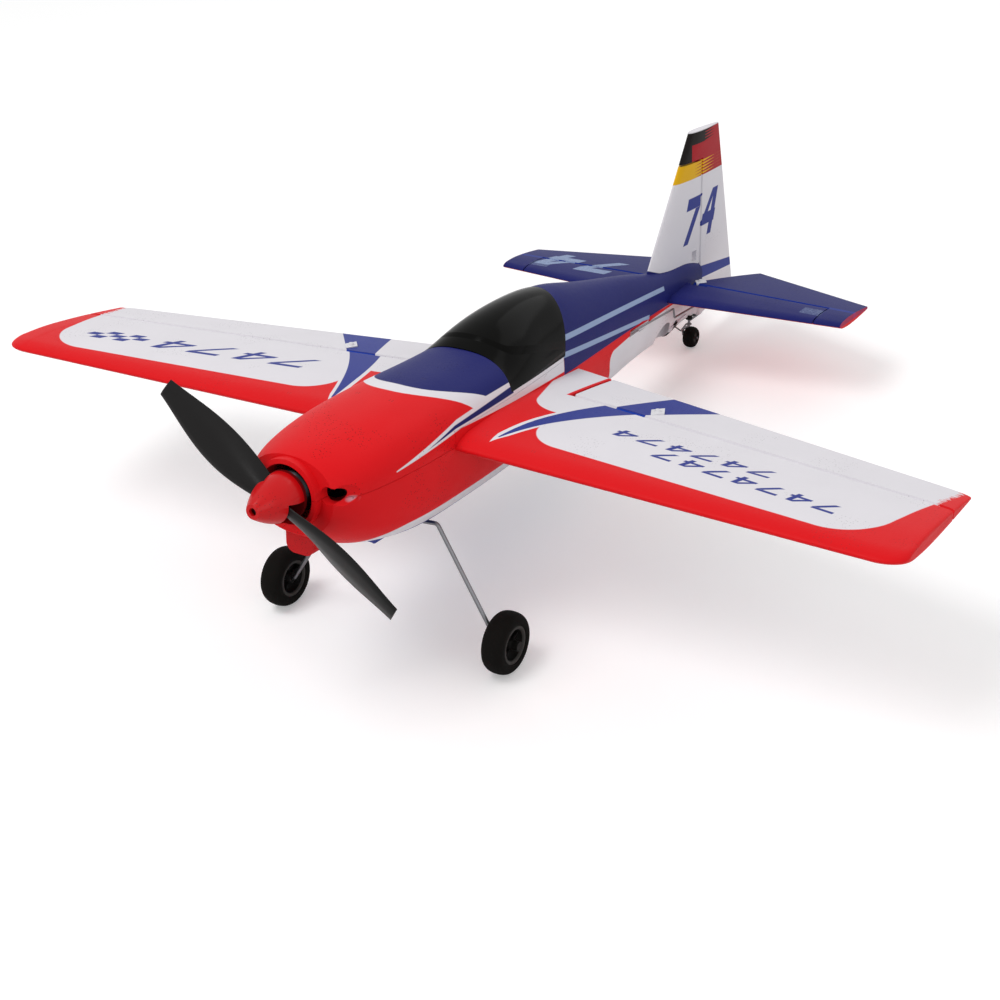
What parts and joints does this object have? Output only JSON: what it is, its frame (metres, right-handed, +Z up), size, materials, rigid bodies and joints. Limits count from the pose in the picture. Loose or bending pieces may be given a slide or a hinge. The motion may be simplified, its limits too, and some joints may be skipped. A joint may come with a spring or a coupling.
{
  "type": "radio controlled aerobatic monoplane",
  "caption": "Foam aerobatic model monoplane on two wheels and a tail wheel, with moving control surfaces driven by servos, a turning propeller and a lift-off top hatch.",
  "frame": {"origin": "centre of the bounding box, on the floor plane that the three wheels stand on", "axes": "+X to the port wing tip, +Y to the tail, +Z up; the aircraft stands nose up on its wheels"},
  "size_m": [0.43, 0.4097, 0.1365],
  "materials": {
    "hull_foam": "satin moulded foam with painted bands",
    "hatch_foam": "satin moulded foam with painted bands",
    "wing_foam": "satin moulded foam with painted bands",
    "tail_foam": "satin moulded foam with painted bands",
    "fin_foam": "satin moulded foam with painted bands",
    "scoop_plastic": "painted satin",
    "blister_plastic": "painted satin",
    "canopy_plastic": "gloss black film",
    "spinner_plastic": "painted satin",
    "black_plastic": "satin moulded",
    "white_plastic": "satin moulded",
    "hinge_plastic": "translucent moulded",
    "grey_plastic": "satin moulded",
    "servo_plastic": "satin moulded",
    "board_laminate": "lacquered board",
    "battery_film": "shrink film",
    "strap_fabric": "woven hook tape",
    "tyre_foam": "fine foam rubber",
    "motor_metal": "machined",
    "stator_metal": "machined",
    "steel_wire": "drawn wire",
    "magnet_metal": "plated",
    "carbon_tube": "woven tube, satin"
  },
  "bodies": {
    "airframe": {"fuselage_shell": "hull_foam", "chin_scoop": "scoop_plastic", "belly_blister": "blister_plastic", "fuselage_magnets": "magnet_metal", "motor_mount": "black_plastic", "motor_stator": "stator_metal", "mount_screws": "steel_wire", "battery": "battery_film", "battery_strap": "strap_fabric", "control_board": "board_laminate", "servo_tray": "grey_plastic", "elevator_servo": "servo_plastic", "rudder_servo": "servo_plastic", "aileron_servo_port": "servo_plastic", "aileron_servo_starboard": "servo_plastic", "wing_panel_port": "wing_foam", "wing_panel_starboard": "wing_foam", "wing_spar": "carbon_tube", "surface_hinges": "hinge_plastic", "stabiliser": "tail_foam", "tail_fin": "fin_foam", "gear_block": "black_plastic", "gear_leg_port": "steel_wire", "gear_leg_starboard": "steel_wire", "wheel_collars": "black_plastic", "tail_plate": "black_plastic", "tail_brace": "steel_wire"},
    "hatch": {"top_hatch": "hatch_foam", "canopy_glazing": "canopy_plastic", "hatch_magnets": "magnet_metal"},
    "propeller": {"motor_bell": "motor_metal", "motor_shaft": "steel_wire", "propeller": "black_plastic", "spinner": "spinner_plastic", "spinner_backplate": "black_plastic", "spinner_screw": "steel_wire"},
    "wheel_port": {"main_tyre_port": "tyre_foam", "main_hub_port": "grey_plastic"},
    "wheel_starboard": {"main_tyre_starboard": "tyre_foam", "main_hub_starboard": "grey_plastic"},
    "aileron_port": {"aileron_port": "wing_foam", "aileron_horn_port": "white_plastic"},
    "aileron_starboard": {"aileron_starboard": "wing_foam", "aileron_horn_starboard": "white_plastic"},
    "elevator": {"elevator_port": "tail_foam", "elevator_starboard": "tail_foam", "elevator_joiner": "steel_wire", "elevator_horn": "white_plastic"},
    "rudder": {"rudder": "fin_foam", "rudder_horn": "white_plastic"},
    "tail_leg": {"tail_post": "steel_wire"},
    "tail_wheel": {"tail_wheel": "tyre_foam"},
    "elevator_servo_arm": {"elevator_servo_arm": "white_plastic"},
    "rudder_servo_arm": {"rudder_servo_arm": "white_plastic"},
    "aileron_servo_arm_port": {"aileron_servo_arm_port": "white_plastic"},
    "aileron_servo_arm_starboard": {"aileron_servo_arm_starboard": "white_plastic"},
    "elevator_pushrod": {"elevator_pushrod": "steel_wire"},
    "rudder_pushrod": {"rudder_pushrod": "steel_wire"},
    "aileron_pushrod_port": {"aileron_pushrod_port": "steel_wire"},
    "aileron_pushrod_starboard": {"aileron_pushrod_starboard": "steel_wire"}
  },
  "joints": [
    {"name": "hatch_lift", "type": "slide", "parent": "airframe", "child": "hatch", "axis": [0, 0.1681, 0.9858], "range_m": [0, 0.06]},
    {"name": "propeller_spin", "type": "hinge", "parent": "airframe", "child": "propeller", "pos_m": [0, -0.19026, 0.10048], "axis": [0, 0.9858, -0.1681], "continuous": true},
    {"name": "wheel_port_spin", "type": "hinge", "parent": "airframe", "child": "wheel_port", "pos_m": [0.0558, -0.13232, 0.0131], "axis": [1, 0, 0], "continuous": true},
    {"name": "wheel_starboard_spin", "type": "hinge", "parent": "airframe", "child": "wheel_starboard", "pos_m": [-0.0558, -0.13232, 0.0131], "axis": [1, 0, 0], "continuous": true},
    {"name": "aileron_port_hinge", "type": "hinge", "parent": "airframe", "child": "aileron_port", "pos_m": [0.0404, -0.0424, 0.07345], "axis": [0.9895, -0.1426, 0.0237], "range_deg": [-25, 25]},
    {"name": "aileron_starboard_hinge", "type": "hinge", "parent": "airframe", "child": "aileron_starboard", "pos_m": [-0.0404, -0.0424, 0.07345], "axis": [0.9895, 0.1426, -0.0237], "range_deg": [-25, 25]},
    {"name": "elevator_hinge", "type": "hinge", "parent": "airframe", "child": "elevator", "pos_m": [0, 0.14049, 0.04124], "axis": [1, 0, 0], "range_deg": [-25, 25]},
    {"name": "rudder_hinge", "type": "hinge", "parent": "airframe", "child": "rudder", "pos_m": [0, 0.15771, 0.02086], "axis": [0, 0.1101, 0.9939], "range_deg": [-30, 30]},
    {"name": "tail_leg_steer", "type": "hinge", "parent": "airframe", "child": "tail_leg", "pos_m": [0, 0.15093, 0.01329], "axis": [0, 0.1101, 0.9939], "range_deg": [-18.22, 18.22]},
    {"name": "tail_wheel_spin", "type": "hinge", "parent": "tail_leg", "child": "tail_wheel", "pos_m": [0, 0.15309, 0.00567], "axis": [1, 0, 0], "continuous": true},
    {"name": "elevator_servo_turn", "type": "hinge", "parent": "airframe", "child": "elevator_servo_arm", "pos_m": [0, -0.0341, 0.07629], "axis": [1, 0, 0], "range_deg": [-25, 25]},
    {"name": "elevator_rod_pivot", "type": "hinge", "parent": "elevator_servo_arm", "child": "elevator_pushrod", "pos_m": [0.0098, -0.03545, 0.0684], "axis": [1, 0, 0], "range_deg": [-25, 25]},
    {"name": "rudder_servo_turn", "type": "hinge", "parent": "airframe", "child": "rudder_servo_arm", "pos_m": [0, -0.04447, 0.06609], "axis": [0, 0.1681, 0.9858], "range_deg": [-30, 30]},
    {"name": "rudder_rod_pivot", "type": "hinge", "parent": "rudder_servo_arm", "child": "rudder_pushrod", "pos_m": [-0.008, -0.04447, 0.06609], "axis": [0, 0.1681, 0.9858], "range_deg": [-30, 30]},
    {"name": "aileron_servo_turn_port", "type": "hinge", "parent": "airframe", "child": "aileron_servo_arm_port", "pos_m": [0.0723, -0.08286, 0.08033], "axis": [0.9895, -0.1426, 0.0237], "range_deg": [-25, 25]},
    {"name": "aileron_rod_pivot_port", "type": "hinge", "parent": "aileron_servo_arm_port", "child": "aileron_pushrod_port", "pos_m": [0.0723, -0.0842, 0.07244], "axis": [0.9895, -0.1426, 0.0237], "range_deg": [-25, 25]},
    {"name": "aileron_servo_turn_starboard", "type": "hinge", "parent": "airframe", "child": "aileron_servo_arm_starboard", "pos_m": [-0.0723, -0.08286, 0.08033], "axis": [0.9895, 0.1426, -0.0237], "range_deg": [-25, 25]},
    {"name": "aileron_rod_pivot_starboard", "type": "hinge", "parent": "aileron_servo_arm_starboard", "child": "aileron_pushrod_starboard", "pos_m": [-0.0723, -0.0842, 0.07244], "axis": [0.9895, 0.1426, -0.0237], "range_deg": [-25, 25]}
  ],
  "couplings": [
    {"joint": "aileron_starboard_hinge", "follows": "aileron_port_hinge", "ratio": -1},
    {"joint": "aileron_servo_turn_port", "follows": "aileron_port_hinge", "ratio": 1},
    {"joint": "aileron_rod_pivot_port", "follows": "aileron_port_hinge", "ratio": -1},
    {"joint": "aileron_servo_turn_starboard", "follows": "aileron_port_hinge", "ratio": -1},
    {"joint": "aileron_rod_pivot_starboard", "follows": "aileron_port_hinge", "ratio": 1},
    {"joint": "elevator_servo_turn", "follows": "elevator_hinge", "ratio": 1},
    {"joint": "elevator_rod_pivot", "follows": "elevator_hinge", "ratio": -1},
    {"joint": "rudder_servo_turn", "follows": "rudder_hinge", "ratio": 1},
    {"joint": "rudder_rod_pivot", "follows": "rudder_hinge", "ratio": -1},
    {"joint": "tail_leg_steer", "follows": "rudder_hinge", "ratio": 0.60403}
  ]
}
